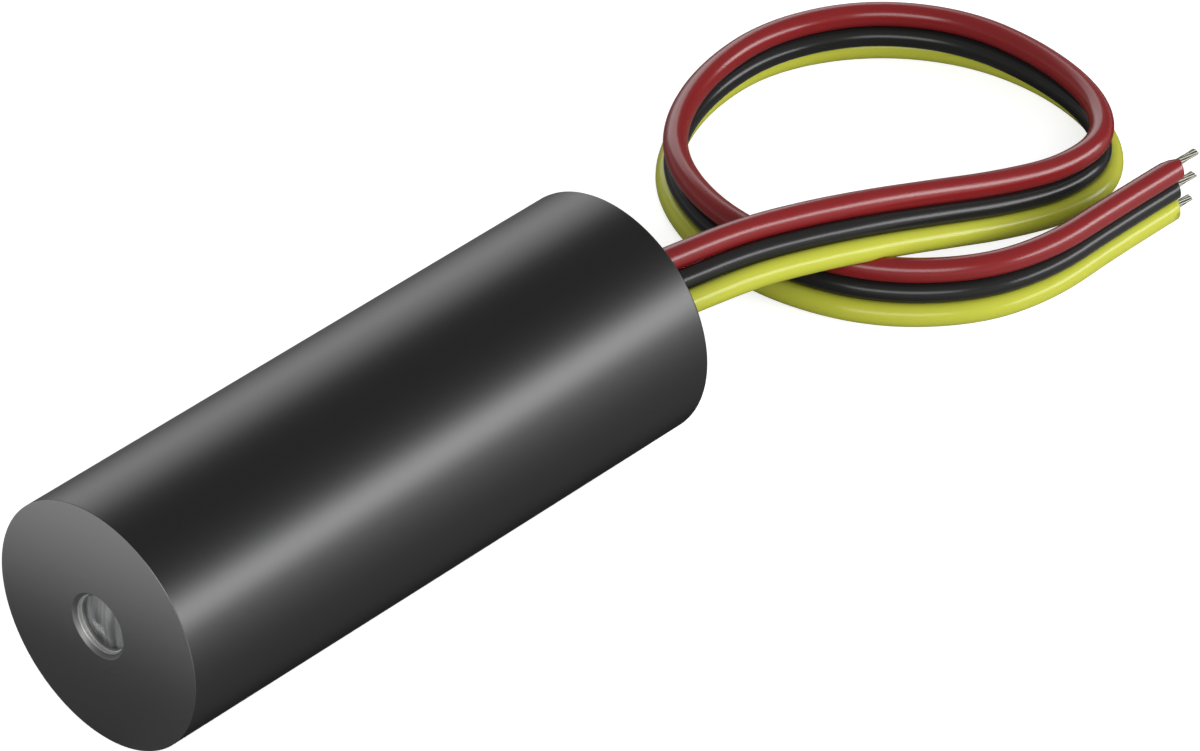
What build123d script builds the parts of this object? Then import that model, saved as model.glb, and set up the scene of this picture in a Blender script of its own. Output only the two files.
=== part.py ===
from build123d import *
import math
import os

# A laser diode module: a plain turned cylinder with a beam hole in its front wall, a lens, a spring, a diode
# can and a driver board inside, and three bonded leads that leave the middle of its rear end.
# Millimetres. It lies on its side on the surface z = 0 with its axis along Y, the beam leaves towards -Y,
# and the origin is on that surface under the middle of the cylinder.

# Housing
BODY_DIAMETER = 12.0
BODY_LENGTH = 32.0
FRONT_WALL = 0.35
BEAM_HOLE = 3.2
BEAM_HOLE_BREAK = 0.08
EDGE_BREAK = 0.15
REAR_WALL = 0.9
SHOULDER_WIDTH = 0.6
SHOULDER_DEPTH = 8.0

# Play between turned pieces, on the radius
TURNED_PLAY = 0.03

# Lens and its barrel
BARREL_LENGTH = 4.0
BARREL_LIP = 0.35
BARREL_OPENING = 2.7
BARREL_OPENING_BREAK = 0.1
BARREL_GROOVE_WIDTH = 0.6
BARREL_GROOVE_DEPTH = 0.35
LENS_DIAMETER = 5.0
LENS_EDGE = 1.1
LENS_FRONT_CROWN = 0.3
LENS_REAR_CROWN = 0.55
RETAINER_LENGTH = 1.0
RETAINER_WALL = 0.6
RETAINER_BREAK = 0.3
SPANNER_SLOT = 0.5

# Spring between the lens barrel and the diode holder
SPRING_WIRE = 0.45
SPRING_SIDE_PLAY = 0.35
SPRING_END_PLAY = 0.01
SPRING_TURNS = 2.5

# Diode holder and clamp ring
HOLDER_LENGTH = 4.4
HOLDER_SEAT = 1.0
HOLDER_CAP_HOLE = 4.1
HOLDER_BREAK = 0.2
CLAMP_LENGTH = 1.2
CLAMP_BORE = 3.4

# Diode can
FLANGE_DIAMETER = 5.6
FLANGE_THICKNESS = 1.2
CAP_DIAMETER = 3.6
CAP_HEIGHT = 2.3
CAP_WALL = 0.2
CAP_RIM_DIAMETER = 3.9
CAP_RIM = 0.2
CAP_OPENING = 1.6
WINDOW_DIAMETER = 2.4
WINDOW_THICKNESS = 0.25
POST_WIDTH = 1.4
POST_DEPTH = 0.7
POST_HEIGHT = 1.5
SUBMOUNT_WIDTH = 0.8
SUBMOUNT_THICKNESS = 0.25
SUBMOUNT_LENGTH = 0.9
CHIP_WIDTH = 0.3
CHIP_THICKNESS = 0.12
CHIP_LENGTH = 0.5
MONITOR_SIDE = 0.6
MONITOR_THICKNESS = 0.2
MONITOR_RISE = 0.25
PIN_DIAMETER = 0.45
PIN_CIRCLE = 2.0
PIN_LENGTH = 5.0

# Driver board and its parts
BOARD_WIDTH = 8.2
BOARD_THICKNESS = 0.5
BOARD_HOLDER_GAP = 0.5
BOARD_PLUG_GAP = 1.4
BOARD_CORNER = 0.5
DRIVER_CHIP_WIDTH = 1.6
DRIVER_CHIP_HEIGHT = 1.0
DRIVER_CHIP_FEET_COUNT = 3
TRANSISTOR_WIDTH = 1.3
TRANSISTOR_HEIGHT = 0.95
TRANSISTOR_FEET_COUNT = 2
PACKAGE_LENGTH = 2.9
PACKAGE_PLACE = 6.2
PACKAGE_BREAK = 0.16
FEET_SPAN = 1.9
FOOT_WIDTH = 0.35
FOOT_LENGTH = 0.55
FOOT_THICKNESS = 0.18
CHIP_PART_LENGTH = 1.6
CHIP_PART_WIDTH = 0.8
CHIP_PART_CAP = 0.32
CHIP_PART_CAP_RISE = 0.04
RESISTOR_HEIGHT = 0.45
RESISTOR_EDGE_GAP = 0.4
RESISTOR_PLACE = 5.2
RESISTOR_SPACING = 2.2
CAPACITOR_HEIGHT = 0.8
CAPACITOR_PLACE = 9.4
CAPACITOR_SPACING = 1.5
SOLDER_RADIUS = 0.42
SOLDER_CROWN = 0.5
SOLDER_LENGTH = 1.5
SOLDER_EDGE_GAP = 0.3

# Rear plug
PLUG_LENGTH = 3.0
PLUG_BREAK = 0.2
PLUG_SLOT_PLAY = 0.06

# Bonded leads
LEAD_DIAMETER = 1.06
LEAD_PITCH = 1.1
LEAD_START = 3.4
CONDUCTOR_DIAMETER = 0.4
INNER_TIP = 2.9
RED_TIP = 1.0
BLACK_TIP = 0.9
YELLOW_TIP = 0.7
EXIT_LEAN = 46.0
ARC_SHARE = 0.45

# Worked out from the sizes above
AXIS_HEIGHT = BODY_DIAMETER / 2
REAR_BORE = BODY_DIAMETER - 2 * REAR_WALL
FRONT_BORE = REAR_BORE - 2 * SHOULDER_WIDTH
FRONT_Y = -BODY_LENGTH / 2
REAR_Y = BODY_LENGTH / 2
BARREL_FRONT = FRONT_Y + FRONT_WALL
BARREL_REAR = BARREL_FRONT + BARREL_LENGTH
RETAINER_BORE = LENS_DIAMETER - 2 * RETAINER_WALL
HOLDER_FRONT = FRONT_Y + SHOULDER_DEPTH
HOLDER_REAR = HOLDER_FRONT + HOLDER_LENGTH
FLANGE_FRONT = HOLDER_FRONT + HOLDER_SEAT
FLANGE_REAR = FLANGE_FRONT + FLANGE_THICKNESS
BOARD_FRONT = HOLDER_REAR + BOARD_HOLDER_GAP
PLUG_FRONT = REAR_Y - PLUG_LENGTH
BOARD_REAR = PLUG_FRONT - BOARD_PLUG_GAP
BOARD_TOP = -(PIN_DIAMETER / 2 + TURNED_PLAY)
BOARD_BOTTOM = BOARD_TOP - BOARD_THICKNESS
LEAD_RADIUS = LEAD_DIAMETER / 2

# The middle lead's route: x, distance behind the rear face, height, and how far the ribbon leans from
# upright to the red lead above and to the yellow lead below, in degrees. LYING puts the yellow lead on the
# surface. The leads curve to +X, loop once to the left, pass under themselves and end beside their exit.
LYING = None
ROUTE = [
    (0.0, -LEAD_START, AXIS_HEIGHT, EXIT_LEAN, EXIT_LEAN),
    (0.0, 0.6, AXIS_HEIGHT, EXIT_LEAN, EXIT_LEAN),
    (0.4, 4.6, 5.85, 42, 42),
    (0.8, 8.4, 5.5, 38, 38),
    (1.6, 11.7, 5.1, 35, 34),
    (2.5, 14.9, 4.7, 35, 31),
    (3.3, 18.6, 3.7, 34, 27),
    (4.1, 22.5, 2.6, 29, 22),
    (4.6, 26.4, 1.8, 18, 18),
    (4.1, 29.8, LYING, 4, 24),
    (1.4, 32.4, LYING, -12, 34),
    (-3.0, 33.4, LYING, -19, 40),
    (-7.5, 32.8, LYING, -22, 32),
    (-11.4, 30.2, LYING, -21, 27),
    (-13.6, 26.0, LYING, -14, 33),
    (-13.5, 21.5, LYING, -7, 32),
    (-12.0, 17.3, LYING, 1, 22),
    (-9.5, 14.3, LYING, 5, 12),
    (-5.4, 12.5, LYING, 8, 13),
    (-0.8, 12.4, LYING, 12, 18),
    (3.7, 14.0, LYING, 15, 19),
    (7.0, 17.3, LYING, 14, 14),
    (8.3, 21.1, LYING, 8, 4),
    (8.2, 25.6, LYING, 3, 0),
    (8.3, 30.5, LYING, 3, 0),
]

# Turned and inner pieces are drawn about the Y axis and lifted to the body's axis. The diode can, the board
# and the plug's slot also turn about it, so that their own X runs along the ribbon from red to yellow.
ON_AXIS = Pos(0, 0, AXIS_HEIGHT)
IN_RIBBON = ON_AXIS * Rot(0, 90 - EXIT_LEAN, 0)


def turned(outline):
    """Turns a closed outline of (radius, y) points about the body's axis."""
    face = make_face(Polyline(*outline, close=True))
    return ON_AXIS * revolve(face, Axis.Y)


def ring(outer, inner, start, end):
    """A plain turned ring."""
    return turned([(inner / 2, start), (outer / 2, start), (outer / 2, end), (inner / 2, end)])


def disc(diameter, start, end):
    """A plain turned disc."""
    return turned([(0, start), (diameter / 2, start), (diameter / 2, end), (0, end)])


def block(size, x=0.0, y=0.0, bottom=0.0):
    """A box of (x, y, height) that stands on a height in the ribbon's frame."""
    return Pos(x, y, bottom + size[2] / 2) * Box(*size)


def make_housing():
    """One turned tube whose front wall is left whole round the beam hole."""
    outer = BODY_DIAMETER / 2
    hole = BEAM_HOLE / 2
    return turned([
        (hole + BEAM_HOLE_BREAK, FRONT_Y),
        (outer - EDGE_BREAK, FRONT_Y),
        (outer, FRONT_Y + EDGE_BREAK),
        (outer, REAR_Y - EDGE_BREAK),
        (outer - EDGE_BREAK, REAR_Y),
        (REAR_BORE / 2, REAR_Y),
        (REAR_BORE / 2, HOLDER_FRONT),
        (FRONT_BORE / 2, HOLDER_FRONT),
        (FRONT_BORE / 2, BARREL_FRONT),
        (hole, BARREL_FRONT),
        (hole, FRONT_Y + BEAM_HOLE_BREAK),
    ])


def make_lens_barrel():
    """The barrel has a lip in front of the lens, a bore for lens and retainer, and a glue groove outside."""
    outer = FRONT_BORE / 2 - TURNED_PLAY
    bore = LENS_DIAMETER / 2 + TURNED_PLAY
    opening = BARREL_OPENING / 2
    middle = (BARREL_FRONT + BARREL_REAR) / 2
    groove_front = middle - BARREL_GROOVE_WIDTH / 2
    groove_rear = middle + BARREL_GROOVE_WIDTH / 2
    return turned([
        (opening + BARREL_OPENING_BREAK, BARREL_FRONT),
        (outer - EDGE_BREAK, BARREL_FRONT),
        (outer, BARREL_FRONT + EDGE_BREAK),
        (outer, groove_front),
        (outer - BARREL_GROOVE_DEPTH, groove_front),
        (outer - BARREL_GROOVE_DEPTH, groove_rear),
        (outer, groove_rear),
        (outer, BARREL_REAR - EDGE_BREAK),
        (outer - EDGE_BREAK, BARREL_REAR),
        (bore, BARREL_REAR),
        (bore, BARREL_FRONT + BARREL_LIP),
        (opening, BARREL_FRONT + BARREL_LIP),
        (opening, BARREL_FRONT + BARREL_OPENING_BREAK),
    ])


def make_collimating_lens():
    """A glass lens whose front crown rises within the barrel's opening and whose rear crown is deeper."""
    rim = LENS_DIAMETER / 2
    seat = BARREL_OPENING / 2
    front = BARREL_FRONT + BARREL_LIP
    rear = front + LENS_EDGE
    crown = RETAINER_BORE / 2
    front_arc = half_crown(seat, front, front - LENS_FRONT_CROWN)
    rear_arc = half_crown(crown, rear, rear + LENS_REAR_CROWN)
    sides = Polyline((seat, front), (rim, front), (rim, rear), (crown, rear))
    closing = Line((0, front - LENS_FRONT_CROWN), (0, rear + LENS_REAR_CROWN))
    return ON_AXIS * revolve(make_face(front_arc + sides + rear_arc + closing), Axis.Y)


def half_crown(half_width, edge_y, top_y):
    """Half of a round crown, as an arc from its top on the axis out to its edge."""
    rise = abs(top_y - edge_y)
    radius = (half_width ** 2 + rise ** 2) / (2 * rise)
    centre_y = top_y + math.copysign(radius, edge_y - top_y)
    half_turn = math.asin(half_width / radius) / 2
    towards_top = math.copysign(1.0, top_y - edge_y)
    middle = (radius * math.sin(half_turn), centre_y + towards_top * radius * math.cos(half_turn))
    return ThreePointArc((0, top_y), middle, (half_width, edge_y))


def make_lens_retaining_ring():
    """The ring behind the lens has a broken rear edge and two slots for the spanner."""
    bore = RETAINER_BORE / 2
    start = BARREL_FRONT + BARREL_LIP + LENS_EDGE
    end = start + RETAINER_LENGTH
    retainer = turned([
        (bore, start),
        (LENS_DIAMETER / 2, start),
        (LENS_DIAMETER / 2, end),
        (bore + RETAINER_BREAK, end),
        (bore, end - RETAINER_BREAK),
    ])
    slot = ON_AXIS * Pos(0, end, 0) * Box(LENS_DIAMETER, SPANNER_SLOT, SPANNER_SLOT)
    return retainer - slot


def make_focus_spring():
    """An open compression spring between the barrel's rear face and the holder's front face."""
    length = HOLDER_FRONT - BARREL_REAR - SPRING_WIRE - 2 * SPRING_END_PLAY
    radius = (FRONT_BORE - SPRING_WIRE) / 2 - SPRING_SIDE_PLAY
    coil = Helix(length / SPRING_TURNS, length, radius)
    section = Plane(coil @ 0, z_dir=coil % 0) * Circle(SPRING_WIRE / 2)
    wire = sweep(section, coil, is_frenet=True)
    start = BARREL_REAR + SPRING_END_PLAY + SPRING_WIRE / 2
    return ON_AXIS * Pos(0, start, 0) * Rot(-90, 0, 0) * wire


def make_diode_holder():
    """The brass sleeve seats on the housing's shoulder and centres the diode's flange in its counterbore."""
    outer = REAR_BORE / 2 - TURNED_PLAY
    counterbore = FLANGE_DIAMETER / 2 + TURNED_PLAY
    return turned([
        (HOLDER_CAP_HOLE / 2, HOLDER_FRONT),
        (outer - HOLDER_BREAK, HOLDER_FRONT),
        (outer, HOLDER_FRONT + HOLDER_BREAK),
        (outer, HOLDER_REAR - HOLDER_BREAK),
        (outer - HOLDER_BREAK, HOLDER_REAR),
        (counterbore, HOLDER_REAR),
        (counterbore, FLANGE_FRONT),
        (HOLDER_CAP_HOLE / 2, FLANGE_FRONT),
    ])


def make_diode_clamp_ring():
    """The ring that presses the flange on its seat, slotted for a spanner."""
    end = FLANGE_REAR + CLAMP_LENGTH
    clamp = ring(FLANGE_DIAMETER, CLAMP_BORE, FLANGE_REAR, end)
    slot = IN_RIBBON * Pos(0, end, 0) * Box(FLANGE_DIAMETER, SPANNER_SLOT, SPANNER_SLOT)
    return clamp - slot


def make_diode_header():
    """The can's steel flange with the post that carries the emitter."""
    flange = disc(FLANGE_DIAMETER, FLANGE_FRONT, FLANGE_REAR)
    post_centre = FLANGE_FRONT - POST_HEIGHT / 2
    post = IN_RIBBON * Pos(0, post_centre, -POST_DEPTH / 2 - SUBMOUNT_THICKNESS - CHIP_THICKNESS / 2)
    return flange + post * Box(POST_WIDTH, POST_HEIGHT, POST_DEPTH)


def make_diode_cap():
    """A thin drawn cap with a welded rim and a hole for the window."""
    outer = CAP_DIAMETER / 2
    inner = outer - CAP_WALL
    top = FLANGE_FRONT - CAP_HEIGHT
    return turned([
        (CAP_OPENING / 2, top),
        (outer, top),
        (outer, FLANGE_FRONT - CAP_RIM),
        (CAP_RIM_DIAMETER / 2, FLANGE_FRONT - CAP_RIM),
        (CAP_RIM_DIAMETER / 2, FLANGE_FRONT),
        (inner, FLANGE_FRONT),
        (inner, top + CAP_WALL),
        (CAP_OPENING / 2, top + CAP_WALL),
    ])


def make_diode_window():
    """The glass disc sealed to the inside of the cap's top."""
    start = FLANGE_FRONT - CAP_HEIGHT + CAP_WALL
    return disc(WINDOW_DIAMETER, start, start + WINDOW_THICKNESS)


def make_laser_submount():
    """The small block between the post and the emitter, flush with the post's front end."""
    centre = FLANGE_FRONT - POST_HEIGHT + SUBMOUNT_LENGTH / 2
    size = (SUBMOUNT_WIDTH, SUBMOUNT_LENGTH, SUBMOUNT_THICKNESS)
    return IN_RIBBON * block(size, 0, centre, -CHIP_THICKNESS / 2 - SUBMOUNT_THICKNESS)


def make_laser_chip():
    """The emitter on the submount, with its front end on the submount's edge and its light on the axis."""
    centre = FLANGE_FRONT - POST_HEIGHT + CHIP_LENGTH / 2
    return IN_RIBBON * block((CHIP_WIDTH, CHIP_LENGTH, CHIP_THICKNESS), 0, centre, -CHIP_THICKNESS / 2)


def make_monitor_photodiode():
    """The detector on the flange, across the axis from the post and behind the emitter."""
    size = (MONITOR_SIDE, MONITOR_THICKNESS, MONITOR_SIDE)
    return IN_RIBBON * block(size, 0, FLANGE_FRONT - MONITOR_THICKNESS / 2, MONITOR_RISE)


def pin_places():
    """Two pins on the board's top side and one on its under side, in the ribbon's frame."""
    reach = PIN_CIRCLE / 2
    return [(-reach, 0.0), (reach, 0.0), (0.0, BOARD_BOTTOM - PIN_DIAMETER / 2 - TURNED_PLAY)]


def make_diode_pins():
    """Three round pins from the flange's rear face to the board."""
    group = Part()
    for x, z in pin_places():
        pin = Pos(x, FLANGE_REAR + PIN_LENGTH / 2, z) * Rot(90, 0, 0) * Cylinder(PIN_DIAMETER / 2, PIN_LENGTH)
        group += IN_RIBBON * pin
    return group


def make_driver_board():
    """A thin board along the axis, between the diode's pins."""
    length = BOARD_REAR - BOARD_FRONT
    sheet = block((BOARD_WIDTH, length, BOARD_THICKNESS), 0, (BOARD_FRONT + BOARD_REAR) / 2, BOARD_BOTTOM)
    return IN_RIBBON * fillet(sheet.edges().filter_by(Axis.Z), BOARD_CORNER)


def on_board(x, y, under=False):
    """A place on the board's top side, or on its under side with the part's own up pointing away from it."""
    if under:
        return IN_RIBBON * Pos(x, y, BOARD_BOTTOM) * Rot(0, 180, 0)
    return IN_RIBBON * Pos(x, y, BOARD_TOP)


def moulded_package(width, height, feet_count):
    """A small moulded package with flat feet along both long sides."""
    body = chamfer(block((width, PACKAGE_LENGTH, height)).edges().group_by(Axis.Z)[-1], PACKAGE_BREAK)
    for side in (-1, 1):
        for k in range(feet_count):
            foot_y = (k / (feet_count - 1) - 0.5) * FEET_SPAN
            body += block((FOOT_LENGTH, FOOT_WIDTH, FOOT_THICKNESS), side * (width + FOOT_LENGTH) / 2, foot_y)
    return body


def make_driver_chip():
    """The regulator on the board's top side."""
    package = moulded_package(DRIVER_CHIP_WIDTH, DRIVER_CHIP_HEIGHT, DRIVER_CHIP_FEET_COUNT)
    return on_board(0, BOARD_FRONT + PACKAGE_PLACE) * package


def make_power_transistor():
    """The output transistor on the board's under side, below the regulator."""
    package = moulded_package(TRANSISTOR_WIDTH, TRANSISTOR_HEIGHT, TRANSISTOR_FEET_COUNT)
    return on_board(0, BOARD_FRONT + PACKAGE_PLACE, under=True) * package


def chip_part(height):
    """A small block-shaped part whose end caps stand a little proud."""
    middle_length = CHIP_PART_LENGTH - 2 * CHIP_PART_CAP
    part = block((CHIP_PART_WIDTH, middle_length, height - CHIP_PART_CAP_RISE))
    for side in (-1, 1):
        part += block((CHIP_PART_WIDTH, CHIP_PART_CAP, height), 0, side * (middle_length + CHIP_PART_CAP) / 2)
    return part


def make_chip_resistors():
    """Two resistors along each side of the board's top."""
    group = Part()
    row_x = BOARD_WIDTH / 2 - RESISTOR_EDGE_GAP - CHIP_PART_WIDTH / 2
    for side in (-1, 1):
        for k in range(2):
            place = on_board(side * row_x, BOARD_FRONT + RESISTOR_PLACE + k * RESISTOR_SPACING)
            group += place * chip_part(RESISTOR_HEIGHT)
    return group


def make_chip_capacitors():
    """Three capacitors side by side on the board's under side."""
    group = Part()
    for k in (-1, 0, 1):
        place = on_board(k * CAPACITOR_SPACING, BOARD_FRONT + CAPACITOR_PLACE, under=True)
        group += place * chip_part(CAPACITOR_HEIGHT)
    return group


def solder_joint(x, y, z, wire_diameter):
    """A joint that rises round a wire on the board, hollow where the wire lies."""
    joint = Pos(x, y, z) * revolve(make_face(Polyline(
        (0, -SOLDER_LENGTH / 2),
        (SOLDER_RADIUS, -SOLDER_CROWN / 2),
        (SOLDER_RADIUS, SOLDER_CROWN / 2),
        (0, SOLDER_LENGTH / 2),
        close=True)), Axis.Y)
    joint -= Pos(x, y, z) * Rot(90, 0, 0) * Cylinder(wire_diameter / 2, 2 * SOLDER_LENGTH)
    joint -= Pos(x, y, (BOARD_TOP + BOARD_BOTTOM) / 2) * Box(2 * BOARD_WIDTH, 2 * SOLDER_LENGTH, BOARD_THICKNESS)
    return IN_RIBBON * joint.solids().sort_by(SortBy.VOLUME)[-1]


def make_solder_joints():
    """The joints of the three pins at the board's front and of the three leads at its rear."""
    group = Part()
    pin_y = BOARD_FRONT + SOLDER_EDGE_GAP + SOLDER_LENGTH / 2
    for x, z in pin_places():
        group += solder_joint(x, pin_y, z, PIN_DIAMETER)
    lead_y = BOARD_REAR - SOLDER_EDGE_GAP - SOLDER_LENGTH / 2
    for k in (-1, 0, 1):
        group += solder_joint(k * LEAD_PITCH, lead_y, 0, CONDUCTOR_DIAMETER)
    return group


def make_rear_plug():
    """The black plug flush with the rear end, with one slot in the middle for the bonded leads."""
    plug = disc(REAR_BORE - 2 * TURNED_PLAY, PLUG_FRONT, REAR_Y)
    plug = chamfer(plug.edges().filter_by(GeomType.CIRCLE), PLUG_BREAK)
    slot_width = 2 * LEAD_PITCH + LEAD_DIAMETER + 2 * PLUG_SLOT_PLAY
    slot_height = LEAD_DIAMETER + 2 * PLUG_SLOT_PLAY
    slot = extrude(Plane.XZ * SlotOverall(slot_width, slot_height), PLUG_LENGTH, both=True)
    return plug - IN_RIBBON * Pos(0, REAR_Y - PLUG_LENGTH / 2, 0) * slot


def lead_points(place):
    """One lead's points: place is -1 for red, 0 for black and 1 for yellow."""
    centres = []
    for x, behind, height, _, yellow_lean in ROUTE:
        lying = LEAD_RADIUS + LEAD_PITCH * math.cos(math.radians(yellow_lean))
        centres.append(Vector(x, REAR_Y + behind, lying if height is LYING else height))
    points = []
    for k, centre in enumerate(centres):
        before = centres[max(k - 1, 0)]
        after = centres[min(k + 1, len(centres) - 1)]
        arriving = centre - before if k > 0 else after - centre
        leaving = after - centre if k < len(centres) - 1 else centre - before
        arriving = Vector(arriving.X, arriving.Y).normalized()
        leaving = Vector(leaving.X, leaving.Y).normalized()
        along = (arriving + leaving).normalized()
        mitre = 1 / arriving.dot(along)
        lean = math.radians(ROUTE[k][3] if place < 0 else ROUTE[k][4])
        sideways = Vector(along.Y, -along.X) * (place * LEAD_PITCH * math.sin(lean) * mitre)
        down = Vector(0, 0, -place * LEAD_PITCH * math.cos(lean))
        points.append(centre + sideways + down)
    return points


def make_lead(name, place):
    """A lead's jacket: straight runs joined by arcs as large as the runs allow."""
    points = lead_points(place)
    radii = []
    for before, corner, after in zip(points, points[1:], points[2:]):
        arriving = corner - before
        leaving = after - corner
        half_turn = math.radians(arriving.get_angle(leaving)) / 2
        radii.append(ARC_SHARE * min(arriving.length, leaving.length) / math.tan(half_turn))
    path = FilletPolyline(*points, radius=radii)
    section = Plane(path @ 0, z_dir=path % 0) * Circle(LEAD_RADIUS)
    tube = sweep(section, path)
    expected = math.pi * LEAD_RADIUS ** 2 * path.length
    print(name, "length", round(path.length, 2), "volume over section times length",
          round(tube.volume / expected, 4), "radii", [round(r, 1) for r in radii])
    return tube


def make_lead_tips(place, outer_length):
    """The bare conductor at both ends of a lead: soldered on the board, and free at the other end."""
    points = lead_points(place)
    inner = Plane(points[0], z_dir=points[0] - points[1]) * Circle(CONDUCTOR_DIAMETER / 2)
    outer = Plane(points[-1], z_dir=points[-1] - points[-2]) * Circle(CONDUCTOR_DIAMETER / 2)
    return Part() + extrude(inner, INNER_TIP) + extrude(outer, outer_length)


PARTS = {
    "housing": make_housing(),
    "lens_barrel": make_lens_barrel(),
    "collimating_lens": make_collimating_lens(),
    "lens_retaining_ring": make_lens_retaining_ring(),
    "focus_spring": make_focus_spring(),
    "diode_holder": make_diode_holder(),
    "diode_clamp_ring": make_diode_clamp_ring(),
    "diode_header": make_diode_header(),
    "diode_cap": make_diode_cap(),
    "diode_window": make_diode_window(),
    "laser_submount": make_laser_submount(),
    "laser_chip": make_laser_chip(),
    "monitor_photodiode": make_monitor_photodiode(),
    "diode_pins": make_diode_pins(),
    "driver_board": make_driver_board(),
    "driver_chip": make_driver_chip(),
    "power_transistor": make_power_transistor(),
    "chip_resistors": make_chip_resistors(),
    "chip_capacitors": make_chip_capacitors(),
    "solder_joints": make_solder_joints(),
    "rear_plug": make_rear_plug(),
    "red_lead": make_lead("red_lead", -1),
    "black_lead": make_lead("black_lead", 0),
    "yellow_lead": make_lead("yellow_lead", 1),
    "red_lead_tips": make_lead_tips(-1, RED_TIP),
    "black_lead_tips": make_lead_tips(0, BLACK_TIP),
    "yellow_lead_tips": make_lead_tips(1, YELLOW_TIP),
}

os.makedirs("parts", exist_ok=True)
for node, part in PARTS.items():
    export_step(part, f"parts/{node}.step")
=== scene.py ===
"""A plain laser diode module on a pale studio floor.

The packed model is the frame. This file makes the turned housing, the lens and its barrel, the three bonded
leads with their bare strands, and a finish for every piece, then the floor, the lamps and the camera.
Everything is in metres. The body's axis runs along Y, and its front face looks towards -Y.
"""

import math
from typing import NamedTuple

import bmesh
import bpy
from bpy.props import FloatProperty, FloatVectorProperty, IntProperty, PointerProperty
from mathutils import Matrix, Vector


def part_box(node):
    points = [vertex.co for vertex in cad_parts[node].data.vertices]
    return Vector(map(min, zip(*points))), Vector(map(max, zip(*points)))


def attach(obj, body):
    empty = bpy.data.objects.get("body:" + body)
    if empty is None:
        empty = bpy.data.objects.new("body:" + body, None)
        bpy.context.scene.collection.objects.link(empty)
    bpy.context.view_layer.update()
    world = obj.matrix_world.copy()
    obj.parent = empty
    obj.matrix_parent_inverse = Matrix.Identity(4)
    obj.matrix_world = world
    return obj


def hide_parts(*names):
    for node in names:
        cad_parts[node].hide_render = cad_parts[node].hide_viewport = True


bl_info = {
    "name": "Laser Diode Module",
    "version": (1, 0, 0),
    "blender": (4, 5, 0),
    "location": "View3D > Sidebar > Laser Module",
    "description": "Makes a plain laser diode module with its bonded leads, finishes and studio stage",
    "category": "Add Mesh",
}

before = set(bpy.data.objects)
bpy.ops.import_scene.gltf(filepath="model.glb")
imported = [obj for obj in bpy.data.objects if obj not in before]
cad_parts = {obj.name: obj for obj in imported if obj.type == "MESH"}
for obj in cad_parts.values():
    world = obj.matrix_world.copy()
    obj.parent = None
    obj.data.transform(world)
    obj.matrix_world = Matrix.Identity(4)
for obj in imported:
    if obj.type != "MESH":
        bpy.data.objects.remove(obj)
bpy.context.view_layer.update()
HOUSING_LOW, HOUSING_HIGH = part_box("housing")
BARREL_LOW, BARREL_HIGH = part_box("lens_barrel")
LENS_LOW, LENS_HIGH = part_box("collimating_lens")
AXIS_HEIGHT = (HOUSING_LOW.z + HOUSING_HIGH.z) / 2

# Corners nearer to each other than this are merged.
MERGE_DISTANCE = 1e-7
# A rim is looked for this close to its place, and is rounded in this many steps.
RIM_TOLERANCE = 1e-6
ROUNDING_STEPS = 4

# The middle lead's route: x, distance behind the body's rear face, height, and how far the ribbon leans
# from upright to the red lead above and to the yellow lead below, in degrees. LYING puts the yellow lead on
# the floor.
LYING = None
EXIT_LEAN = 46
ROUTE = [
    (0.0, -0.0034, AXIS_HEIGHT, EXIT_LEAN, EXIT_LEAN),
    (0.0, 0.0006, AXIS_HEIGHT, EXIT_LEAN, EXIT_LEAN),
    (0.0004, 0.0046, 0.00570, 42, 42),
    (0.0008, 0.0084, 0.00535, 38, 38),
    (0.0016, 0.0117, 0.00495, 35, 34),
    (0.0025, 0.0149, 0.00444, 35, 31),
    (0.0033, 0.0186, 0.00352, 34, 27),
    (0.0041, 0.0225, 0.00248, 29, 22),
    (0.0047, 0.0265, 0.0017, 18, 18),
    (0.0042, 0.0299, LYING, 4, 24),
    (0.0014, 0.0323, LYING, -4, 38),
    (-0.0030, 0.0333, LYING, -15, 42),
    (-0.0075, 0.0328, LYING, -22, 32),
    (-0.0114, 0.0302, LYING, -21, 27),
    (-0.0136, 0.0260, LYING, -14, 33),
    (-0.0135, 0.0215, LYING, -7, 32),
    (-0.0120, 0.0173, LYING, 1, 22),
    (-0.0095, 0.0143, LYING, 5, 12),
    (-0.0054, 0.0125, LYING, 8, 13),
    (-0.0008, 0.0124, LYING, 12, 18),
    (0.0037, 0.0140, LYING, 15, 19),
    (0.0070, 0.0173, LYING, 14, 14),
    (0.0083, 0.0211, LYING, 8, 4),
    (0.0082, 0.0256, LYING, 3, 0),
    (0.0083, 0.0305, LYING, 3, 0),
]


class Lead(NamedTuple):
    """What sets one lead apart: lengths in metres, and the ends of its jacket and of its strands."""
    colour: str
    side: int
    short: float
    reach: float
    cut_slopes: tuple
    cut_rounding: float
    droop: float
    strand_slope: float
    strands_off: float
    gloss: float


# The side is -1 above the middle lead and 1 below it. Short is how far the jacket stops before the route's
# end, and the reach is how far its strands stand out of it. The jacket's cut falls back towards +X and
# upwards by its slopes, and its upper side droops towards the cut. The strands have a sloped cut too, and
# lie off the jacket's middle, towards UPPER_LEFT. The gloss is the jacket's.
LEADS = [
    Lead("red", -1, 0.00014, 0.00146, (0.46, 0.12), 0.00007, 0.00022, 0.5, 0.00020, 0.34),
    Lead("black", 0, 0.00029, 0.00147, (0.50, 0.12), 0.00005, 0.0, 0.7, 0.00014, 0.23),
    Lead("yellow", 1, 0.00024, 0.00104, (0.55, 0.05), 0.00014, 0.0, 0.4, 0.00003, 0.23),
]
# Across the leads' far ends, towards -X and upwards
UPPER_LEFT = Vector((-0.724, 0, 0.690))

# The hole in a jacket's cut has this radius, in strand diameters, and the strands start this far inside it.
STRAND_HOLE = 1.6
STRAND_ROOT = 0.0005
# Corners round one strand, and the length between two rings of them
STRAND_SIDES = 12
STRAND_STEP = 0.0001
# Edges that turn by more than these angles stay sharp.
STRAND_SHARP = math.radians(40)
LENS_SHARP = math.radians(25)
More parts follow.
